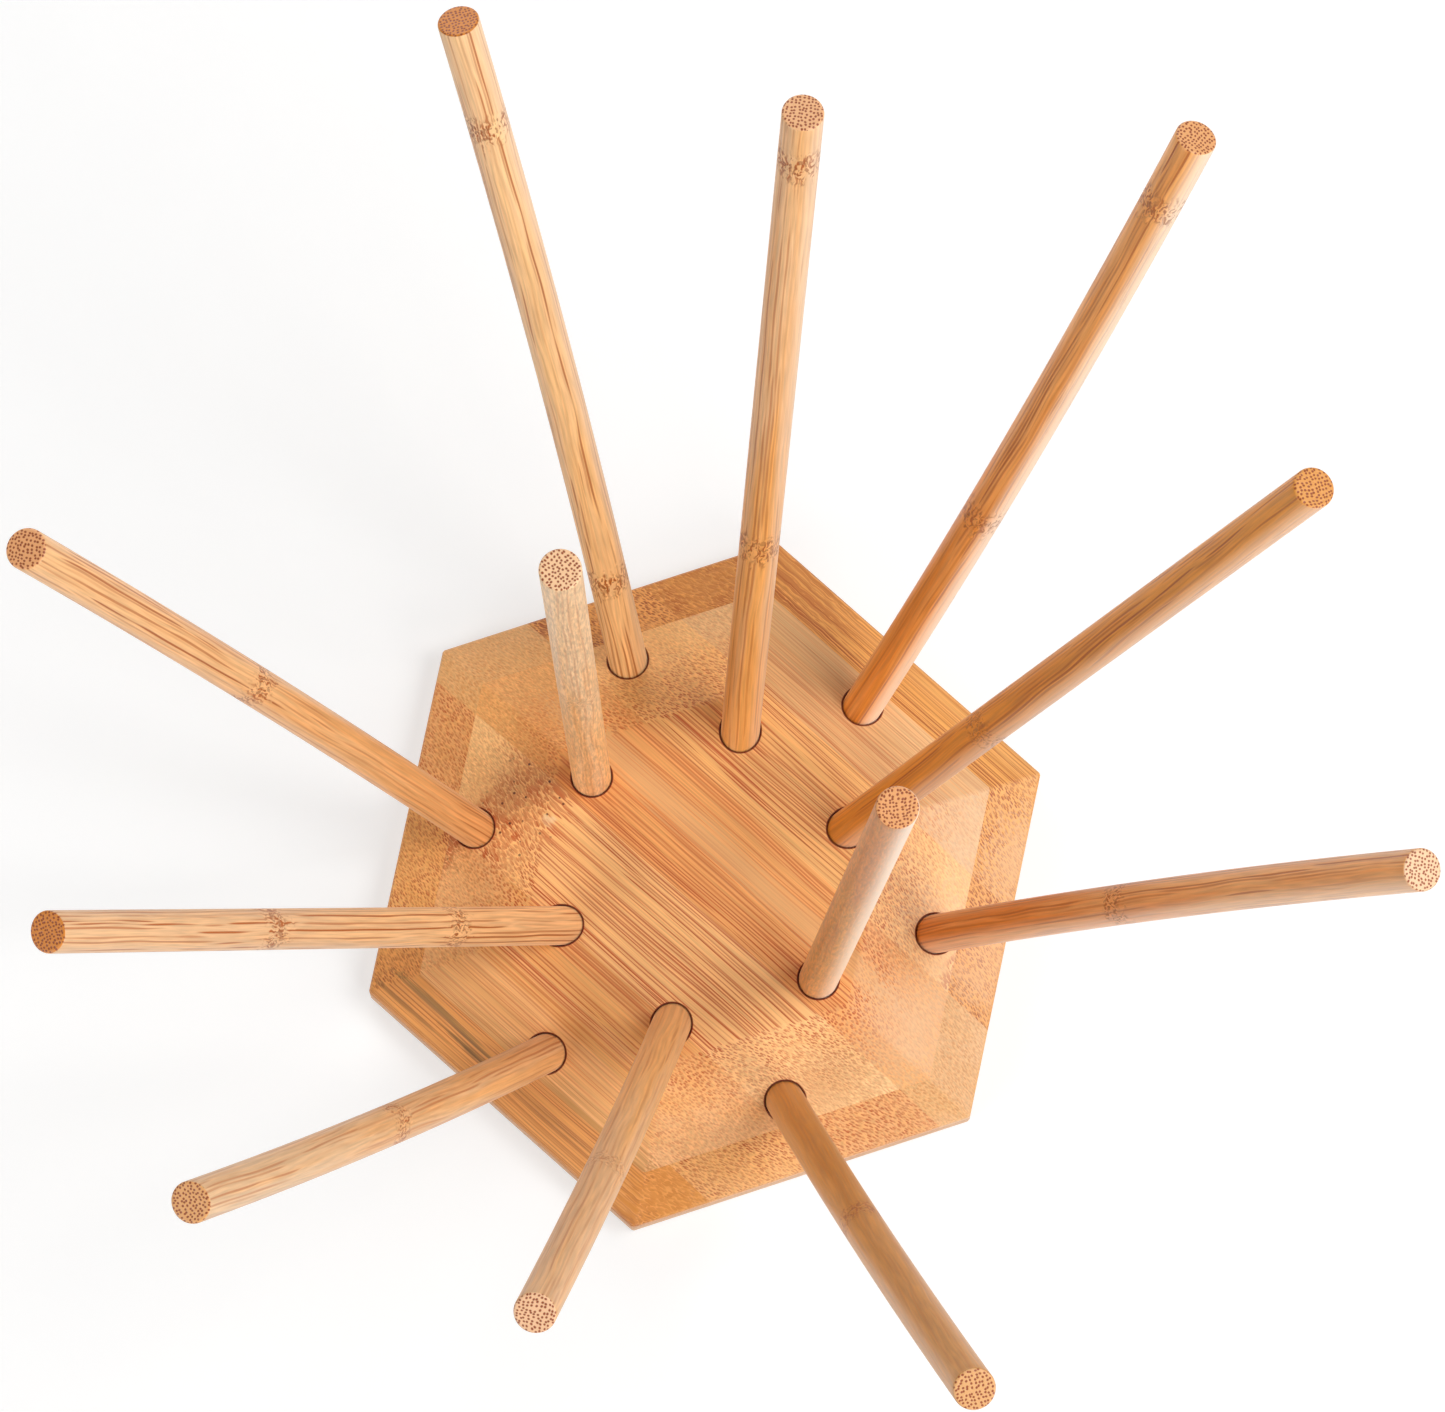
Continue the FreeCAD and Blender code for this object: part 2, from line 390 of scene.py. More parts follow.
# Marks on single strips: where, how far they reach, colour and strength
stripMarks = {
    "top_ply_strip_2": [
        ((-0.0316, -0.0124, 0.015), (0.0018, 0.0016, 0.002), "#f3cf9c", 0.8),
        ((-0.046, -0.018, 0.0125), (0.012, 0.012, 0.01), "#a8692c", 0.2),
        ((0.048, -0.016, 0.0125), (0.014, 0.014, 0.01), "#c08246", 0.3),
    ],
    "top_ply_strip_1": [
        ((0.012, -0.055, 0.0115), (0.06, 0.006, 0.01), "#b07832", 0.6),
        ((-0.048, -0.034, 0.0125), (0.009, 0.011, 0.01), "#a06024", 0.5),
    ],
    "top_ply_strip_3": [
        ((0.004, 0.0065, 0.015), (0.2, 0.0036, 0.004), "#e8b47a", 0.55),
        ((0.052, 0.005, 0.0125), (0.014, 0.016, 0.01), "#f0caa6", 0.25),
        ((-0.047, 0.005, 0.0125), (0.013, 0.016, 0.01), "#b87a34", 0.25),
    ],
    "top_ply_strip_4": [
        ((0.048, 0.026, 0.0125), (0.016, 0.016, 0.01), "#f0caa4", 0.25),
    ],
    "top_ply_strip_5": [
        ((0.036, 0.044, 0.0125), (0.016, 0.012, 0.01), "#ecc8a6", 0.25),
    ],
    "middle_ply_strip_5": [
        ((0.054, 0.026, 0.0075), (0.01, 0.014, 0.01), "#eabd94", 0.3),
    ],
    "middle_ply_strip_6": [
        ((0.047, 0.048, 0.009), (0.012, 0.016, 0.01), "#f0c196", 0.4),
        ((-0.046, 0.048, 0.009), (0.022, 0.02, 0.01), "#bf7626", 0.45),
    ],
    "middle_ply_strip_1": [
        ((-0.0255, -0.0562, 0.0092), (0.014, 0.0011, 0.0012), "#7d5e30", 0.75),
        ((-0.012, -0.0585, 0.0087), (0.009, 0.0009, 0.0012), "#5e4521", 0.85),
        ((-0.012, -0.0568, 0.0091), (0.012, 0.0004, 0.0012), "#6b4c26", 0.75),
        ((-0.03, -0.0602, 0.0082), (0.014, 0.0007, 0.001), "#8a5a2c", 0.7),
        ((0.004, -0.058, 0.0085), (0.02, 0.002, 0.003), "#a06428", 0.4),
        ((0.037, -0.053, 0.0075), (0.012, 0.012, 0.01), "#ee9c3c", 0.55),
    ],
}


def socketsIn(low, high, reach):
    # rods whose socket comes this near to this box, tried at every millimetre of its depth
    deepest = 16
    room = (reach, reach, 0.0001)
    found = []
    for rodName, axis in axes.items():
        steps = [rodPlaces[rodName][0] + axis * (step / 1000) for step in range(deepest + 1)]
        if any(all(low[i] - room[i] < point[i] < high[i] + room[i] for i in range(3)) for point in steps):
            found.append(rodName)
    return found


def stripFibres(tree, look, strip, place):
    # fibres that wander, so that lines start, fade and run out, and that swirl at a culm node
    wander = smoothPush(tree, place, (strip["seed"], 0, 0), look["wanderLength"])
    fibres = addNode(tree, "ShaderNodeVectorMath", {0: wander, 1: look["wander"], 2: place},
                     operation="MULTIPLY_ADD")
    swirl = smoothPush(tree, place, (0, 0, strip["seed"]), look["swirl"])
    ragged = addNode(tree, "ShaderNodeVectorMath", {0: swirl, 1: look["nodeRagged"], 2: place},
                     operation="MULTIPLY_ADD")
    if "node" not in strip:
        return fibres, ragged, None
    nodePlace, nodeReach = strip["node"]
    along = addNode(tree, "ShaderNodeSeparateXYZ", {0: ragged})
    culm = nearNode(tree, along, nodePlace, nodeReach * look["nodeCore"], nodeReach)
    swirl = addNode(tree, "ShaderNodeVectorMath", {0: swirl, 1: look["swirlThrow"]}, operation="MULTIPLY")
    fibres = addNode(tree, "ShaderNodeVectorMath", {0: swirl, 1: culm, 2: fibres},
                     operation="MULTIPLY_ADD")
    return fibres, ragged, culm


def stripSpecks(tree, look, strip, place, fibres, culm):
    # this strip's bundles: turned by its own angle, stronger and fainter by groups
    across = look["bundle"]
    section = addNode(tree, "ShaderNodeMapping", {"Vector": fibres, "Location": (0, strip["seed"], 0),
                      "Rotation": (strip["turn"] * across[2] / across[1], 0, 0), "Scale": across},
                      vector_type="TEXTURE")
    parts = addNode(tree, "ShaderNodeSeparateXYZ", {0: section}).outputs
    flat = addNode(tree, "ShaderNodeCombineXYZ", {0: parts[1], 1: parts[2]})
    dot, own = fibreBundles(tree, look, flat, culm)
    speck = addNode(tree, "ShaderNodeMath", {0: dot, 1: own}, operation="MULTIPLY")
    groupPlace = addNode(tree, "ShaderNodeMapping", {"Vector": place, "Location": (0, 0, strip["seed"]),
                         "Scale": look["group"]}, vector_type="TEXTURE")
    group = addNode(tree, "ShaderNodeTexNoise", {"Vector": groupPlace, "Scale": 1.0, "Detail": 2.0})
    faint, strong = look["groupEdge"]
    group = addNode(tree, "ShaderNodeMapRange", {"Value": group.outputs["Fac"], "From Min": faint,
                    "From Max": strong, "To Min": look["groupLeast"]})
    return addNode(tree, "ShaderNodeMath", {0: speck, 1: group}, operation="MULTIPLY")


def paintedSheenAlongX(tree, look, colour, along):
    # painted sheen: the boards are painted paler and whiter toward +X, where the lacquer catches the
    # lamps' highlight, and richer toward -X, where it catches none
    share = addNode(tree, "ShaderNodeMapRange", {"Value": along, "From Min": -look["sheenTintReach"],
                    "From Max": look["sheenTintReach"]})
    tint = addNode(tree, "ShaderNodeMix", {0: share, 6: look["lowSheenTint"], 7: look["highSheenTint"]},
                   data_type="RGBA")
    return addNode(tree, "ShaderNodeMix", {0: 1.0, 6: colour, 7: tint.outputs[2]}, data_type="RGBA",
                   blend_type="MULTIPLY").outputs[2]


def openPores(tree, look, colour, place, culm):
    # small round pores at a culm node
    pores = addNode(tree, "ShaderNodeTexVoronoi", {"Vector": place, "Scale": 1 / look["poreSpacing"],
                    "Randomness": 1.0}, voronoi_dimensions="3D", feature="F1")
    edge = look["poreRadius"] / look["poreSpacing"]
    pore = addNode(tree, "ShaderNodeMapRange", {"Value": pores.outputs["Distance"], "From Min": edge,
                   "From Max": edge * look["poreCore"]})
    pore = addNode(tree, "ShaderNodeMath", {0: pore, 1: culm}, operation="MULTIPLY")
    return addNode(tree, "ShaderNodeMix", {0: pore, 6: colour, 7: toLinear(look["poreColour"])},
                   data_type="RGBA").outputs[2]


def boardMark(tree, look, colour, ragged, hair, mark):
    # a stain, or a darker or paler patch, drawn out along the fibres
    centre, reach, markColour, strength = mark
    near = addNode(tree, "ShaderNodeMapping", {"Vector": ragged, "Location": centre, "Scale": reach},
                   vector_type="TEXTURE")
    near = addNode(tree, "ShaderNodeVectorMath", {0: near}, operation="LENGTH").outputs["Value"]
    near = addNode(tree, "ShaderNodeMath", {0: hair, 1: look["markRagged"], 2: near},
                   operation="MULTIPLY_ADD")
    fades, gone = look["markEdge"]
    near = addNode(tree, "ShaderNodeMapRange", {"Value": near, "From Min": fades, "From Max": gone,
                   "To Min": strength, "To Max": 0.0}, interpolation_type="SMOOTHSTEP")
    return addNode(tree, "ShaderNodeMix", {0: near, 6: colour, 7: toLinear(markColour)},
                   data_type="RGBA").outputs[2]


def socketShadeMask(tree, look, place, rodName):
    # 1 on the sides and floor of this rod's drilled socket and on a thin ring round its mouth, 0 further
    # out: where the painted shade of the gap round the rod goes
    arm = addNode(tree, "ShaderNodeVectorMath", {0: place, 1: rodPlaces[rodName][0]}, operation="SUBTRACT")
    arm = addNode(tree, "ShaderNodeVectorMath", {0: arm, 1: axes[rodName]}, operation="CROSS_PRODUCT")
    arm = addNode(tree, "ShaderNodeVectorMath", {0: arm}, operation="LENGTH").outputs["Value"]
    fades, gone = look["socketShadeEdge"]
    return addNode(tree, "ShaderNodeMapRange", {"Value": arm, "From Min": fades, "From Max": gone,
                   "To Min": look["socketShade"], "To Max": 0.0})


def boardBamboo(name, look, strip):
    # Lacquered board bamboo: dark fibre bundles in a paler body, denser toward the strip's upper face
    low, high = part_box(name)
    material, tree = newMaterial("Board bamboo " + name)
    place = addNode(tree, "ShaderNodeTexCoord").outputs["Object"]
    placeParts = addNode(tree, "ShaderNodeSeparateXYZ", {0: place}).outputs
    fibres, ragged, culm = stripFibres(tree, look, strip, place)
    hairPlace = addNode(tree, "ShaderNodeMapping", {"Vector": fibres, "Scale": look["streak"]},
                        vector_type="TEXTURE")
    hair = addNode(tree, "ShaderNodeTexNoise", {"Vector": hairPlace, "Scale": 1.0, "Detail": 2.0})

    # bundles show more toward the upper face, and in full at a culm node
    rise = addNode(tree, "ShaderNodeMapRange", {"Value": placeParts[2], "From Min": low.z,
                   "From Max": high.z}, interpolation_type="SMOOTHSTEP")
    amount = addNode(tree, "ShaderNodeMapRange", {"Value": rise, "To Min": strip["low"],
                     "To Max": strip["high"]})
    if culm:
        amount = addNode(tree, "ShaderNodeMath", {0: amount, 1: culm}, operation="MAXIMUM")
    speck = stripSpecks(tree, look, strip, place, fibres, culm)
    speck = addNode(tree, "ShaderNodeMath", {0: speck, 1: amount}, operation="MULTIPLY")
    body = bandedBody(tree, look, place, (0, strip["seed"], strip["seed"]), rise,
                      (strip["pale"], strip["dense"]), hair, look["streakTone"])
    colour = addNode(tree, "ShaderNodeMix", {0: speck, 6: body, 7: toLinear(strip["bundle"])},
                     data_type="RGBA").outputs[2]
    # painted sheen along X
    colour = paintedSheenAlongX(tree, look, colour, placeParts[0])
    if name in look["poredStrips"]:
        colour = openPores(tree, look, colour, place, culm)
    for mark in stripMarks.get(name, []):
        colour = boardMark(tree, look, colour, ragged, hair, mark)

    # painted shade: the drilled sockets and a thin ring round each mouth are painted dark for the shadow in
    # the gap round each rod; they are dull because no lacquer reaches them
    dull = 0.0
    for rodName in socketsIn(low, high, look["socketShadeEdge"][1]):
        paintedShade = socketShadeMask(tree, look, place, rodName)
        colour = addNode(tree, "ShaderNodeMix", {0: paintedShade, 6: colour, 7: toLinear(look["socketShadeColour"])},
                         data_type="RGBA").outputs[2]
        dull = addNode(tree, "ShaderNodeMath", {0: paintedShade, 1: dull}, operation="MAXIMUM")
    smooth, rough = look["roughness"]
    rough = addNode(tree, "ShaderNodeMapRange", {"Value": hair, "To Min": smooth, "To Max": rough})
    rough = addNode(tree, "ShaderNodeMath", {0: rough, 1: dull}, operation="MAXIMUM")
    lacquerOver(tree, lacquerLook, colour, rough, speck, hair)
    return material


for name, strip in stripLooks.items():
    board = boardBamboo(name, boardLook, strip)
    for slot in frame["nodes"][name].material_slots:
        slot.material = board
print("block finished:", len(stripLooks), "strips")

# Rods: one Geometry Nodes tree turns them all, straight in the socket, then gently bowed to the tip


def rodStock(tree, given, index):
    # a straight round bar up the Z axis; its last rings crowd into the eased rim
    count = addNode(tree, "ShaderNodeMath", {0: given["Steps"], 1: given["Tip Steps"]}, operation="ADD")
    line = addNode(tree, "GeometryNodeCurvePrimitiveLine")
    line = addNode(tree, "GeometryNodeResampleCurve", {"Curve": line, "Count": count})
    last = addNode(tree, "ShaderNodeMath", {0: given["Steps"], 1: 1.0}, operation="SUBTRACT")
    bodyIndex = addNode(tree, "ShaderNodeMath", {0: index, 1: last}, operation="MINIMUM")
    bodyShare = addNode(tree, "ShaderNodeMath", {0: bodyIndex, 1: last}, operation="DIVIDE")
    bodyLength = addNode(tree, "ShaderNodeMath", {0: given["Length"], 1: given["Tip Ease"]},
                         operation="SUBTRACT")
    rimIndex = addNode(tree, "ShaderNodeMath", {0: index, 1: bodyIndex}, operation="SUBTRACT")
    rimAngle = addNode(tree, "ShaderNodeMath", {0: rimIndex, 1: given["Tip Steps"]}, operation="DIVIDE")
    rimAngle = addNode(tree, "ShaderNodeMath", {0: rimAngle, 1: math.pi / 2}, operation="MULTIPLY")
    rimUp = addNode(tree, "ShaderNodeMath", {0: rimAngle}, operation="SINE")
    rimUp = addNode(tree, "ShaderNodeMath", {0: rimUp, 1: given["Tip Ease"]}, operation="MULTIPLY")
    along = addNode(tree, "ShaderNodeMath", {0: bodyShare, 1: bodyLength, 2: rimUp},
                    operation="MULTIPLY_ADD")
    point = addNode(tree, "ShaderNodeCombineXYZ", {2: along})
    line = addNode(tree, "GeometryNodeSetPosition", {"Geometry": line, "Position": point})
    rimIn = addNode(tree, "ShaderNodeMath", {0: rimAngle}, operation="COSINE")
    rimIn = addNode(tree, "ShaderNodeMath", {0: rimIn, 1: 1.0}, operation="SUBTRACT")
    radius = addNode(tree, "ShaderNodeMath", {0: rimIn, 1: given["Tip Ease"], 2: given["Radius"]},
                     operation="MULTIPLY_ADD")
    ring = addNode(tree, "GeometryNodeCurvePrimitiveCircle", {"Resolution": given["Sides"], "Radius": 1.0})
    rod = addNode(tree, "GeometryNodeCurveToMesh", {"Curve": line, "Profile Curve": ring,
                  "Scale": radius, "Fill Caps": True})

    # smooth all round, flat on the two cut ends, which face along the bar
    endFacing = 0.999
    facing = addNode(tree, "ShaderNodeSeparateXYZ", {0: addNode(tree, "GeometryNodeInputNormal")})
    level = addNode(tree, "ShaderNodeMath", {0: facing.outputs[2]}, operation="ABSOLUTE")
    side = addNode(tree, "FunctionNodeCompare", {0: level, 1: endFacing}, operation="LESS_THAN")
    return addNode(tree, "GeometryNodeSetShadeSmooth", {"Geometry": rod, "Shade Smooth": side})


def cutTip(tree, given, rod, place, index):
    # the saw cut is a little out of square: the tip drops along its slope from the side left at full length
    slope = addNode(tree, "ShaderNodeVectorMath", {0: place, 1: given["Cut Slope"]},
                    operation="DOT_PRODUCT").outputs["Value"]
    steep = addNode(tree, "ShaderNodeVectorMath", {0: given["Cut Slope"]},
                    operation="LENGTH").outputs["Value"]
    drop = addNode(tree, "ShaderNodeMath", {0: steep, 1: given["Radius"], 2: slope},
                   operation="MULTIPLY_ADD")
    oneRing = 1.01  # with a hundredth to spare, so the last straight ring is cut as well
    ring = addNode(tree, "ShaderNodeMath", {0: index, 1: given["Sides"]}, operation="DIVIDE")
    rimStart = addNode(tree, "ShaderNodeMath", {0: given["Steps"], 1: oneRing}, operation="SUBTRACT")
    isTip = addNode(tree, "ShaderNodeMath", {0: ring, 1: rimStart}, operation="GREATER_THAN")
    drop = addNode(tree, "ShaderNodeMath", {0: drop, 1: isTip}, operation="MULTIPLY")
    drop = addNode(tree, "ShaderNodeMath", {0: drop, 1: -1.0}, operation="MULTIPLY")
    dropBy = addNode(tree, "ShaderNodeCombineXYZ", {2: drop})
    return addNode(tree, "GeometryNodeSetPosition", {"Geometry": rod, "Offset": dropBy})


def bowRod(tree, given, rod, place):
    # one even bend from the foot to the tip: the middle line by the first terms of its series, and each
    # ring turned with it
    across, third, up = addNode(tree, "ShaderNodeSeparateXYZ", {0: place}).outputs
    past = addNode(tree, "ShaderNodeMath", {0: up, 1: given["Foot Length"]}, operation="SUBTRACT")
    past = addNode(tree, "ShaderNodeMath", {0: past, 1: 0.0}, operation="MAXIMUM")
    foot = addNode(tree, "ShaderNodeMath", {0: up, 1: given["Foot Length"]}, operation="MINIMUM")
    turn = addNode(tree, "ShaderNodeMath", {0: past, 1: given["Bend"]}, operation="MULTIPLY")
    lean = addNode(tree, "ShaderNodeMath", {0: past, 1: turn}, operation="MULTIPLY")
    turnSine = addNode(tree, "ShaderNodeMath", {0: turn}, operation="SINE")
    turnCosine = addNode(tree, "ShaderNodeMath", {0: turn}, operation="COSINE")
    acrossTurned = addNode(tree, "ShaderNodeMath", {0: across, 1: turnCosine}, operation="MULTIPLY")
    acrossNow = addNode(tree, "ShaderNodeMath", {0: lean, 1: 0.5, 2: acrossTurned},
                        operation="MULTIPLY_ADD")
    shortfall = addNode(tree, "ShaderNodeMath", {0: turn, 1: turn}, operation="MULTIPLY")
    shortfall = addNode(tree, "ShaderNodeMath", {0: shortfall, 1: -1 / 6, 2: 1.0},
                        operation="MULTIPLY_ADD")
    upNow = addNode(tree, "ShaderNodeMath", {0: past, 1: shortfall, 2: foot}, operation="MULTIPLY_ADD")
    tucked = addNode(tree, "ShaderNodeMath", {0: across, 1: turnSine}, operation="MULTIPLY")
    upNow = addNode(tree, "ShaderNodeMath", {0: upNow, 1: tucked}, operation="SUBTRACT")
    bent = addNode(tree, "ShaderNodeCombineXYZ", {0: acrossNow, 1: third, 2: upNow})
    return addNode(tree, "GeometryNodeSetPosition", {"Geometry": rod, "Position": bent})


def makeRodTree():
    tree = bpy.data.node_groups.new("Turned rod", "GeometryNodeTree")
    tree.interface.new_socket("Geometry", in_out="OUTPUT", socket_type="NodeSocketGeometry")
    tree.interface.new_socket("Geometry", in_out="INPUT", socket_type="NodeSocketGeometry")
    inputs = {"Length": "Float", "Radius": "Float", "Tip Ease": "Float", "Foot Length": "Float",
              "Bend": "Float", "Cut Slope": "Vector", "Sides": "Int", "Steps": "Int", "Tip Steps": "Int",
              "Material": "Material"}
    for label, kind in inputs.items():
        tree.interface.new_socket(label, in_out="INPUT", socket_type="NodeSocket" + kind)
    given = addNode(tree, "NodeGroupInput").outputs
    index = addNode(tree, "GeometryNodeInputIndex")
    place = addNode(tree, "GeometryNodeInputPosition")
    rod = rodStock(tree, given, index)

    # the rod's own straight coordinates, which its grain follows round the bend
    rod = addNode(tree, "GeometryNodeStoreNamedAttribute", {"Geometry": rod, "Name": "rodPlace",
                  "Value": place}, data_type="FLOAT_VECTOR", domain="POINT")
    rod = cutTip(tree, given, rod, place, index)
    rod = bowRod(tree, given, rod, place)
    rod = addNode(tree, "GeometryNodeRealizeInstances", {0: rod})
    rod = addNode(tree, "GeometryNodeSetMaterial", {"Geometry": rod, "Material": given["Material"]})
    addNode(tree, "NodeGroupOutput", {0: rod})
    return tree


# What the dowels share, unless a rod says otherwise. A size in three numbers is in metres, the last of
# them along the rod.
dowelLook = {
    "bundle": (0.00072, 0.00072, 1),  # spacing of the fibre bundles, which have no ends
    "bundleJitter": 0.55,
    "bundleEdge": (0.42, 0.18),  # how far from its middle a bundle begins and is full
    "bundleLeast": 0.1,  # the faintest bundle beside the darkest
    "sideFibre": "#ac5606",
    "tipFibre": "#903c04",
    "tipFace": 0.00018,  # depth of the sawn face
    "wander": (0.0016, 0.0016, 0),  # how far the grain strays
    "wanderLength": (0.006, 0.006, 0.035),  # over which distances
    "footToTip": (0.02, 0.2),  # the body colour changes between these heights
    "band": (0.0022, 0.0022, 0.05),  # soft lengthwise bands
    "bandLift": 0.5,
    "streakWidth": 0.00045,
    "swirl": (0.0014, 0.0014, 0.0026),  # swirls of the fibres at a culm node
    "swirlThrow": 0.0024,
    "nodeRagged": 0.009,  # how far a node's edge strays
    "nodeReach": (0.0012, 0.0062),  # a node is at full strength up to here, and gone from there
    "mottle": (0.0007, 0.0007, 0.0013),  # brown mottle at the nodes
    "mottleEdge": (0.5, 0.62),
    "mottleShare": 0.7,
    "mottleColour": "#94501c",
    # painted highlight: the colour of a rod's paler sheen flank
    "sheenFlankColour": "#fde6cc",
    "roughness": (0.36, 0.5),
    "knots": (),
    "runout": (0.0, 0.0),
    "cut": (0, 0),
    "knotShare": 1.0,
    "figure": (0.012, 0.15),
}

# What each rod has of its own: body colour at the foot and at the tip, colour of the sawn end, how
# strongly its streaks show, "knots" for where its culm nodes lie from the foot and "knotShare" for how
# strong they are, how far its grain runs out sideways, and its saw cut's tilt in degrees toward a
# heading turned from +X. "flank" is painted sheen: the heading of the side painted paler for a lamp's
# highlight, how pale it is, and the cosine of how far round it reaches. "figure" is the length and depth
# of the fine streaks.
rodLooks = {
    "slope_rod_1": {"foot": "#da7e28", "tip": "#e8a666", "end": "#eec399", "streak": 0.92, "seed": 1.7,
                    "knots": (0.1025,), "runout": (0.004, 0.0), "cut": (4, 32), "sheenFlank": (-58, 0.35, 0.3)},
    "slope_rod_2": {"foot": "#de882c", "tip": "#eea75c", "end": "#ebaa6f", "streak": 1.0, "seed": 2.6,
                    "knots": (0.092, 0.209), "runout": (0.01, 0.006), "cut": (4, 89),
                    "sheenFlank": (0, 0.72, 0.3)},
    "slope_rod_3": {"foot": "#f4c282", "tip": "#f0c28e", "end": "#d6801c", "streak": 0.82, "seed": 3.1,
                    "knots": (0.042, 0.199), "runout": (0.003, 0.0), "cut": (8, 148),
                    "sheenFlank": (58, 0.3, 0.3)},
    "slope_rod_4": {"foot": "#e7a868", "tip": "#eab67e", "end": "#f1ad74", "streak": 1.0, "seed": 4.9,
                    "knots": (0.128,), "runout": (-0.006, 0.004), "cut": (3, 25)},
    "slope_rod_5": {"foot": "#dfa568", "tip": "#dab286", "end": "#e9a969", "streak": 0.73, "seed": 5.2,
                    "knots": (0.117,), "runout": (0.004, 0.006), "cut": (7, 267)},
    "slope_rod_6": {"foot": "#bf7b1c", "tip": "#cb8d48", "end": "#e2a86d", "streak": 0.28, "seed": 6.8,
                    "knots": (0.111,), "runout": (0.02, 0.0), "sheenFlank": (242, 0.1, 0.3)},
    "top_rod_1": {"foot": "#d5821e", "tip": "#e0902e", "end": "#df9746", "streak": 1.0, "seed": 7.4,
                  "knots": (0.084,), "runout": (0.025, 0.01), "cut": (6, 243), "sheenFlank": (-27, 0.4, 0.3),
                  "knotShare": 0.8},
    "top_rod_2": {"foot": "#eca85a", "tip": "#eab986", "end": "#f1b784", "streak": 0.82, "seed": 8.3,
                  "knots": (0.0855, 0.217), "runout": (0.0, 0.003), "cut": (6, 304),
                  "sheenFlank": (34, 0.35, 0.3)},
    "top_rod_3": {"foot": "#f3be84", "tip": "#e3b586", "end": "#de872d", "streak": 1.0, "seed": 9.5,
                  "knots": (0.066, 0.145), "runout": (0.0, -0.004), "cut": (8, 240)},
    "top_rod_4": {"foot": "#e5aa68", "tip": "#d8a877", "end": "#f4c398", "streak": 0.55, "seed": 10.9,
                  "knots": (0.1335,), "runout": (0.003, 0.0), "cut": (5, 297), "knotShare": 0.6},
    "upright_rod_1": {"foot": "#d09048", "tip": "#c27d42", "end": "#eda668", "streak": 0.4, "seed": 11.2,
                      "runout": (0.01, 0.0), "sheenFlank": (42, 0.88, -0.6), "knotShare": 0.4,
                      "figure": (0.004, 0.32)},
    "upright_rod_2": {"foot": "#eeb674", "tip": "#ebc698", "end": "#fbcc9d", "streak": 0.4, "seed": 12.6,
                      "knots": (0.116,), "knotShare": 0.35, "figure": (0.004, 0.3)},
}


def rodFibres(tree, look, place, up):
    # fibres that run out sideways and wander, and swirl at the culm nodes, whose edges are ragged
    swirl = smoothPush(tree, place, (0, 0, look["seed"]), look["swirl"])
    ragged = addNode(tree, "ShaderNodeSeparateXYZ", {0: swirl})
    ragged = addNode(tree, "ShaderNodeMath", {0: ragged.outputs[2], 1: look["nodeRagged"], 2: up},
                     operation="MULTIPLY_ADD")
    knot = 0.0
    for knotHeight in look["knots"]:
        near = nearNode(tree, ragged, knotHeight, *look["nodeReach"])
        knot = addNode(tree, "ShaderNodeMath", {0: knot, 1: near}, operation="MAXIMUM")
    runout = addNode(tree, "ShaderNodeCombineXYZ", {0: look["runout"][0], 1: look["runout"][1]})
    grain = addNode(tree, "ShaderNodeVectorMath", {0: runout, "Scale": up}, operation="SCALE")
    grain = addNode(tree, "ShaderNodeVectorMath", {0: place, 1: grain}, operation="ADD")
    wander = smoothPush(tree, place, (0, 0, look["seed"]), look["wanderLength"])
    grain = addNode(tree, "ShaderNodeVectorMath", {0: wander, 1: look["wander"], 2: grain},
                    operation="MULTIPLY_ADD")
    throw = addNode(tree, "ShaderNodeMath", {0: knot, 1: look["swirlThrow"]}, operation="MULTIPLY")
    swirl = addNode(tree, "ShaderNodeVectorMath", {0: swirl, "Scale": throw}, operation="SCALE")
    return addNode(tree, "ShaderNodeVectorMath", {0: grain, 1: swirl}, operation="ADD"), knot


def rodSpecks(tree, look, grain, knot, tipFace):
    # fibre bundles: specks on the sawn tip, streaks along the side
    section = addNode(tree, "ShaderNodeMapping", {"Vector": grain, "Location": (look["seed"], 0, 0),
                      "Scale": look["bundle"]}, vector_type="TEXTURE")
    dot, own = fibreBundles(tree, look, section)
    share = addNode(tree, "ShaderNodeMath", {0: own, 1: look["streak"]}, operation="MULTIPLY")
    knotShare = addNode(tree, "ShaderNodeMath", {0: knot, 1: look["knotShare"]}, operation="MULTIPLY")
    share = addNode(tree, "ShaderNodeMath", {0: share, 1: knotShare}, operation="MAXIMUM")
    sideDot = addNode(tree, "ShaderNodeMath", {0: dot, 1: share}, operation="MULTIPLY")
    return addNode(tree, "ShaderNodeMix", {0: tipFace, 2: sideDot, 3: dot})


def paintSheenFlank(tree, look, colour, axis, tipFace):
    # painted sheen: the side that faces a lamp is painted paler and whiter, for its highlight on the lacquer
    heading, share, start = look["sheenFlank"]
    sheenSide = Vector((math.cos(math.radians(heading)), math.sin(math.radians(heading)), 0))
    sheenSide = (sheenSide - sheenSide.dot(axis) * axis).normalized()
    facing = addNode(tree, "ShaderNodeTexCoord").outputs["Normal"]
    sheenFlank = addNode(tree, "ShaderNodeVectorMath", {0: facing, 1: sheenSide}, operation="DOT_PRODUCT")
    sheenFlank = addNode(tree, "ShaderNodeMapRange", {"Value": sheenFlank.outputs["Value"], "From Min": start,
                    "From Max": 1.0, "To Min": 0.0, "To Max": share}, interpolation_type="SMOOTHSTEP")
    offTip = addNode(tree, "ShaderNodeMath", {0: 1.0, 1: tipFace}, operation="SUBTRACT")
    sheenFlank = addNode(tree, "ShaderNodeMath", {0: sheenFlank, 1: offTip}, operation="MULTIPLY")
    return addNode(tree, "ShaderNodeMix", {0: sheenFlank, 6: colour, 7: toLinear(look["sheenFlankColour"])},
                   data_type="RGBA").outputs[2]


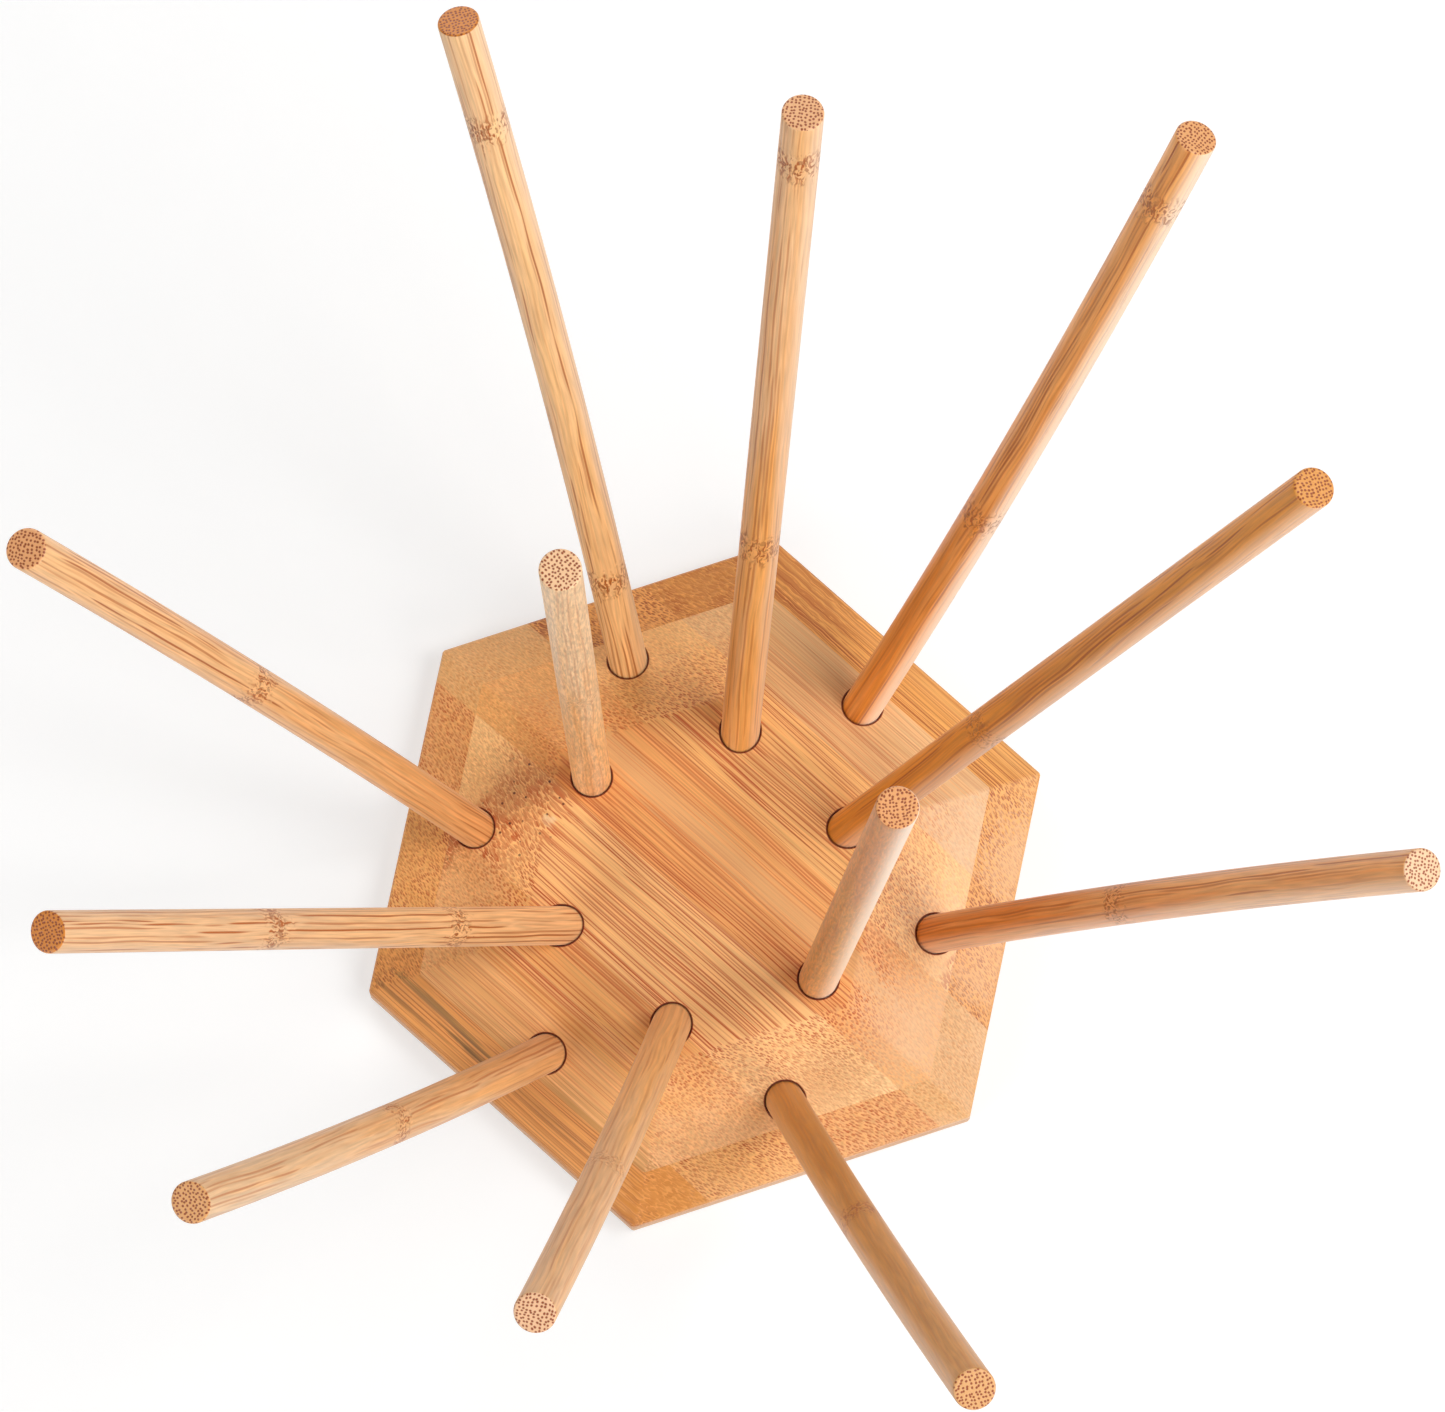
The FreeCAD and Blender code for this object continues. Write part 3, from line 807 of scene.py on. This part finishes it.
def nodeMottle(tree, look, colour, grain, knot):
    # brown mottle at the nodes
    mottlePlace = addNode(tree, "ShaderNodeMapping", {"Vector": grain, "Location": (0, 0, look["seed"]),
                          "Scale": look["mottle"]}, vector_type="TEXTURE")
    mottle = addNode(tree, "ShaderNodeTexNoise", {"Vector": mottlePlace, "Scale": 1.0, "Detail": 1.0})
    begins, full = look["mottleEdge"]
    mottle = addNode(tree, "ShaderNodeMapRange", {"Value": mottle, "From Min": begins, "From Max": full},
                     interpolation_type="SMOOTHSTEP")
    mottle = addNode(tree, "ShaderNodeMath", {0: mottle, 1: knot}, operation="MULTIPLY")
    mottle = addNode(tree, "ShaderNodeMath", {0: mottle, 1: look["knotShare"] * look["mottleShare"]},
                     operation="MULTIPLY")
    return addNode(tree, "ShaderNodeMix", {0: mottle, 6: colour, 7: toLinear(look["mottleColour"])},
                   data_type="RGBA").outputs[2]


def rodBamboo(name, look, axis):
    # Lacquered bamboo dowel: lengthwise streaks, mottled culm nodes and a speckled sawn tip
    material, tree = newMaterial("Rod bamboo " + name)
    place = addNode(tree, "ShaderNodeAttribute", attribute_name="rodPlace", attribute_type="GEOMETRY")
    place = place.outputs["Vector"]
    up = addNode(tree, "ShaderNodeSeparateXYZ", {0: place}).outputs[2]
    grain, knot = rodFibres(tree, look, place, up)
    hairPlace = addNode(tree, "ShaderNodeMapping", {"Vector": grain, "Scale":
                        (look["streakWidth"], look["streakWidth"], look["figure"][0])},
                        vector_type="TEXTURE")
    hair = addNode(tree, "ShaderNodeTexNoise", {"Vector": hairPlace, "Scale": 1.0, "Detail": 2.0})
    tipFace = addNode(tree, "ShaderNodeMath", {0: up, 1: rodShape["length"] - look["tipFace"]},
                      operation="GREATER_THAN")
    speck = rodSpecks(tree, look, grain, knot, tipFace)

    # body colour from foot to tip, and the sawn end's own
    low, high = look["footToTip"]
    rise = addNode(tree, "ShaderNodeMapRange", {"Value": up, "From Min": low, "From Max": high},
                   interpolation_type="SMOOTHSTEP")
    body = bandedBody(tree, look, grain, (0, look["seed"], 0), rise, (look["foot"], look["tip"]), hair,
                      look["figure"][1])
    body = addNode(tree, "ShaderNodeMix", {0: tipFace, 6: body, 7: toLinear(look["end"])},
                   data_type="RGBA").outputs[2]
    fibre = addNode(tree, "ShaderNodeMix", {0: tipFace, 6: toLinear(look["sideFibre"]),
                    7: toLinear(look["tipFibre"])}, data_type="RGBA").outputs[2]
    colour = addNode(tree, "ShaderNodeMix", {0: speck, 6: body, 7: fibre}, data_type="RGBA").outputs[2]
    # painted sheen: a lamp's highlight painted paler on one side of the rod
    if "sheenFlank" in look:
        colour = paintSheenFlank(tree, look, colour, axis, tipFace)
    colour = nodeMottle(tree, look, colour, grain, knot)
    smooth, rough = look["roughness"]
    rough = addNode(tree, "ShaderNodeMapRange", {"Value": hair, "To Min": smooth, "To Max": rough})
    lacquerOver(tree, lacquerLook, colour, rough, speck, hair)
    return material


def makeRod(name, look, tree, axis):
    footCentre, footLength, across, bend = rodPlaces[name]
    across = (across - across.dot(axis) * axis).normalized()
    third = axis.cross(across)
    cutTilt, cutHeading = math.radians(look["cut"][0]), math.radians(look["cut"][1])
    toward = Vector((math.cos(cutHeading), math.sin(cutHeading), 0))
    toward = (toward - toward.dot(axis) * axis).normalized() * math.tan(cutTilt)
    values = {
        "Length": rodShape["length"],
        "Radius": rodShape["radius"],
        "Tip Ease": rodShape["tipEase"],
        "Foot Length": footLength,
        "Bend": bend,
        "Cut Slope": (toward.dot(across), toward.dot(third), 0),
        "Sides": rodShape["sides"],
        "Steps": rodShape["steps"],
        "Tip Steps": rodShape["tipSteps"],
        "Material": rodBamboo(name, look, axis),
    }
    carrier = bpy.data.objects.new(name + "_carrier", bpy.data.meshes.new(name + "_carrier"))
    bpy.context.scene.collection.objects.link(carrier)
    modifier = carrier.modifiers.new("Turned rod", "NODES")
    modifier.node_group = tree
    for item in tree.interface.items_tree:
        if item.item_type == "SOCKET" and item.in_out == "INPUT" and item.name in values:
            modifier[item.identifier] = values[item.name]
    made = carrier.evaluated_get(bpy.context.evaluated_depsgraph_get())
    mesh = bpy.data.meshes.new_from_object(made)
    bpy.data.objects.remove(carrier)
    mesh.name = name + "_dowel"
    turned = Matrix((across, third, axis)).transposed().to_4x4()
    mesh.transform(Matrix.Translation(footCentre) @ turned)
    rod = bpy.data.objects.new(name + "_dowel", mesh)
    bpy.context.scene.collection.objects.link(rod)
    body = next(b for b, members in frame["record"]["behaviour"]["bodies"].items() if name in members)
    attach(rod, body)
    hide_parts(name)
    return rod


rodTree = makeRodTree()
for name, look in rodLooks.items():
    rod = makeRod(name, dowelLook | look, rodTree, axes[name])
    low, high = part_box(name)
    points = [v.co for v in rod.data.vertices]
    room = [min(p[i] for p in points) - low[i] for i in range(3)]
    room += [high[i] - max(p[i] for p in points) for i in range(3)]
    print(name, "turned, room in its box in mm:", [round(r * 1000, 3) for r in room])
print("rods finished:", len(rodLooks))
